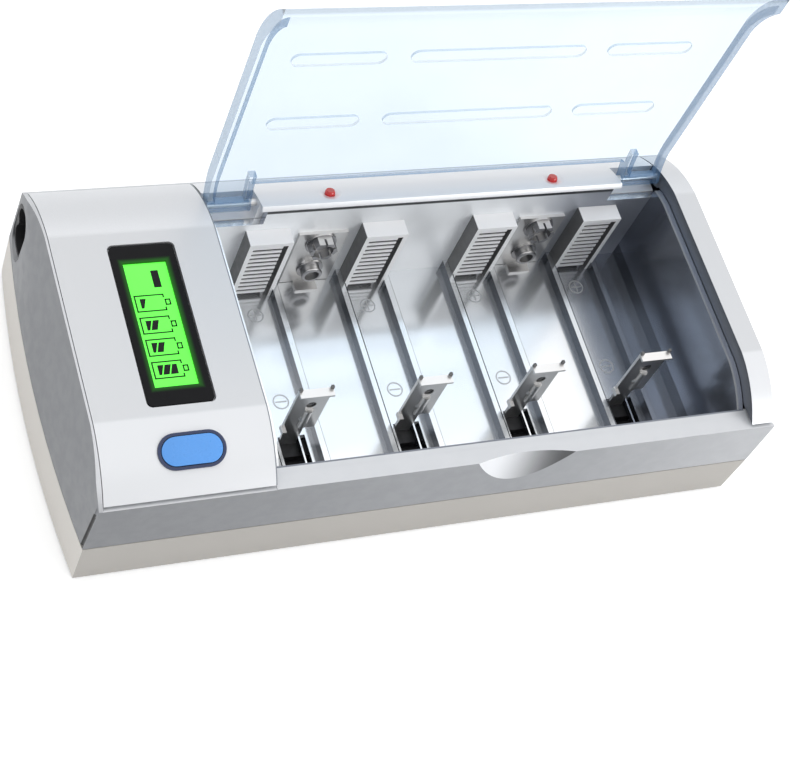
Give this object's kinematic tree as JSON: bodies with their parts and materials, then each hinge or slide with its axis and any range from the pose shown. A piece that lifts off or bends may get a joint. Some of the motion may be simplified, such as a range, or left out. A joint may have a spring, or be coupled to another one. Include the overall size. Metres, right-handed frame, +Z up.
{
  "type": "battery charger",
  "caption": "Desktop charger for round and block cells: display panel with a push button, open bays with sprung sliders and ribbed contacts, and a clear hinged lid.",
  "frame": {"origin": "on the table under the middle of the case", "axes": "+X along the case to the right, +Y to the back, +Z up"},
  "size_m": [0.2064, 0.0966, 0.1279],
  "materials": {
    "warm_white_shell": "fine matte moulded plastic",
    "grey_shell": "satin grey plastic",
    "bright_tub": "bright silver coated plastic",
    "silver_cover": "satin silver paint",
    "dark_window": "glossy dark window",
    "lit_display": "lit green display",
    "blue_rim": "dark blue rim",
    "blue_button": "satin blue plastic",
    "clear_lid": "clear pale blue plastic",
    "contact_metal": "nickel-plated sheet",
    "white_block": "bright white plastic",
    "black_plastic": "black plastic",
    "circuit_board": "green board",
    "foot_rubber": "soft rubber",
    "red_lamp": "red lamp"
  },
  "bodies": {
    "case": {"base_case": "warm_white_shell", "insulating_film": "black_plastic", "upper_housing": "grey_shell", "battery_tub": "bright_tub", "display_panel": "silver_cover", "right_trim": "silver_cover", "rear_bar": "silver_cover", "lcd_window": "dark_window", "lcd_module": "lit_display", "button_rim": "blue_rim", "tact_switch": "black_plastic", "display_board": "circuit_board", "main_board": "circuit_board", "transformer": "black_plastic", "board_components": "black_plastic", "power_inlet": "black_plastic", "inlet_pins": "contact_metal", "rubber_feet": "foot_rubber", "case_screws": "contact_metal", "hinge_pin_left": "contact_metal", "hinge_pin_right": "contact_metal", "indicator_led_1": "red_lamp", "indicator_led_2": "red_lamp", "contact_block_1": "white_block", "contact_block_2": "white_block", "contact_block_3": "white_block", "contact_block_4": "white_block", "contact_plate_1": "contact_metal", "contact_plate_2": "contact_metal", "contact_plate_3": "contact_metal", "contact_plate_4": "contact_metal", "snap_plate_1": "contact_metal", "snap_plate_2": "contact_metal", "snap_stud_1": "contact_metal", "snap_stud_2": "contact_metal", "snap_socket_1": "contact_metal", "snap_socket_2": "contact_metal", "slider_spring_1": "contact_metal", "slider_spring_2": "contact_metal", "slider_spring_3": "contact_metal", "slider_spring_4": "contact_metal"},
    "lid": {"lid": "clear_lid"},
    "button": {"button": "blue_button"},
    "slider_1": {"slider_plate_1": "contact_metal", "slider_carriage_1": "black_plastic"},
    "slider_2": {"slider_plate_2": "contact_metal", "slider_carriage_2": "black_plastic"},
    "slider_3": {"slider_plate_3": "contact_metal", "slider_carriage_3": "black_plastic"},
    "slider_4": {"slider_plate_4": "contact_metal", "slider_carriage_4": "black_plastic"}
  },
  "joints": [
    {"name": "lid_hinge", "type": "hinge", "parent": "case", "child": "lid", "pos_m": [0, 0.0371, 0.0429], "axis": [1, 0, 0], "range_deg": [0, 90]},
    {"name": "button_press", "type": "slide", "parent": "case", "child": "button", "axis": [0, 0.3891, -0.9212], "range_m": [0, 0.0006], "stiffness_N_per_m": 800, "springref_m": -0.0004},
    {"name": "slider_1_slide", "type": "slide", "parent": "case", "child": "slider_1", "axis": [0, -1, 0], "range_m": [0, 0.0185], "stiffness_N_per_m": 150, "springref_m": -0.012, "deforming": ["slider_spring_1"]},
    {"name": "slider_2_slide", "type": "slide", "parent": "case", "child": "slider_2", "axis": [0, -1, 0], "range_m": [0, 0.0185], "stiffness_N_per_m": 150, "springref_m": -0.012, "deforming": ["slider_spring_2"]},
    {"name": "slider_3_slide", "type": "slide", "parent": "case", "child": "slider_3", "axis": [0, -1, 0], "range_m": [0, 0.0185], "stiffness_N_per_m": 150, "springref_m": -0.012, "deforming": ["slider_spring_3"]},
    {"name": "slider_4_slide", "type": "slide", "parent": "case", "child": "slider_4", "axis": [0, -1, 0], "range_m": [0, 0.0185], "stiffness_N_per_m": 150, "springref_m": -0.012, "deforming": ["slider_spring_4"]}
  ]
}
